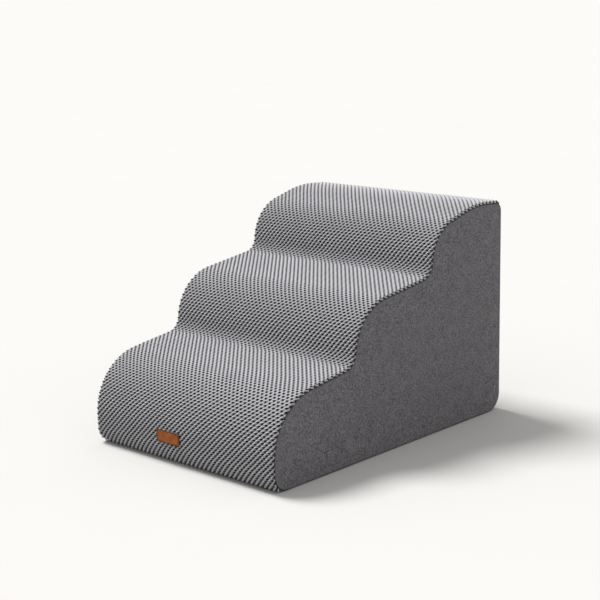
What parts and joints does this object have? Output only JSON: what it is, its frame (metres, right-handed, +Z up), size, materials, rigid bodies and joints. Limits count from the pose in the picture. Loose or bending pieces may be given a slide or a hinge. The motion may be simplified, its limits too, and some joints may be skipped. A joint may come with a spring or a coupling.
{
  "type": "pet stairs",
  "caption": "Foam pet stairs with wave-shaped steps in a light grey knit tread cover, dark woven sides, a small leather tag on the front and a zip low across the back.",
  "frame": {"origin": "on the floor under the middle of the object's overall box", "axes": "+X along the width, +Y from the lowest step towards the back, +Z up"},
  "size_m": [0.4, 0.5792, 0.3699],
  "materials": {
    "foam_firm": "matte open-cell foam",
    "foam_soft": "matte open-cell foam",
    "knit_fabric": "thick light grey knit with dark pits",
    "side_fabric": "matte dark grey melange weave",
    "base_fabric": "black cloth with printed grip dots",
    "tag_leather": "tan leather, satin",
    "tag_thread": "brown thread",
    "zip_tape": "dark woven tape",
    "zip_resin": "dark moulded resin",
    "zip_metal": "dark lacquered zinc"
  },
  "bodies": {
    "stairs": {"foam_core": "foam_firm", "comfort_layer": "foam_soft", "tread_panel": "knit_fabric", "side_panel_left": "side_fabric", "side_panel_right": "side_fabric", "back_panel_upper": "side_fabric", "back_panel_lower": "side_fabric", "base_panel": "base_fabric", "leather_tag": "tag_leather", "tag_stitches": "tag_thread", "zip_tape_upper": "zip_tape", "zip_tape_lower": "zip_tape", "zip_teeth_upper": "zip_resin", "zip_teeth_lower": "zip_resin", "zip_top_stops": "zip_metal", "zip_bottom_stop": "zip_metal"},
    "slider": {"zip_slider": "zip_metal"},
    "pull": {"zip_pull_tab": "zip_metal"}
  },
  "joints": [
    {"name": "zip_slide", "type": "slide", "parent": "stairs", "child": "slider", "axis": [1, 0, 0], "range_m": [0, 0.3144], "deforming": ["zip_teeth_upper", "zip_teeth_lower"]},
    {"name": "pull_swing", "type": "hinge", "parent": "slider", "child": "pull", "pos_m": [-0.1572, 0.28742, 0.062], "axis": [0, 0, 1], "range_deg": [0, 180]}
  ]
}
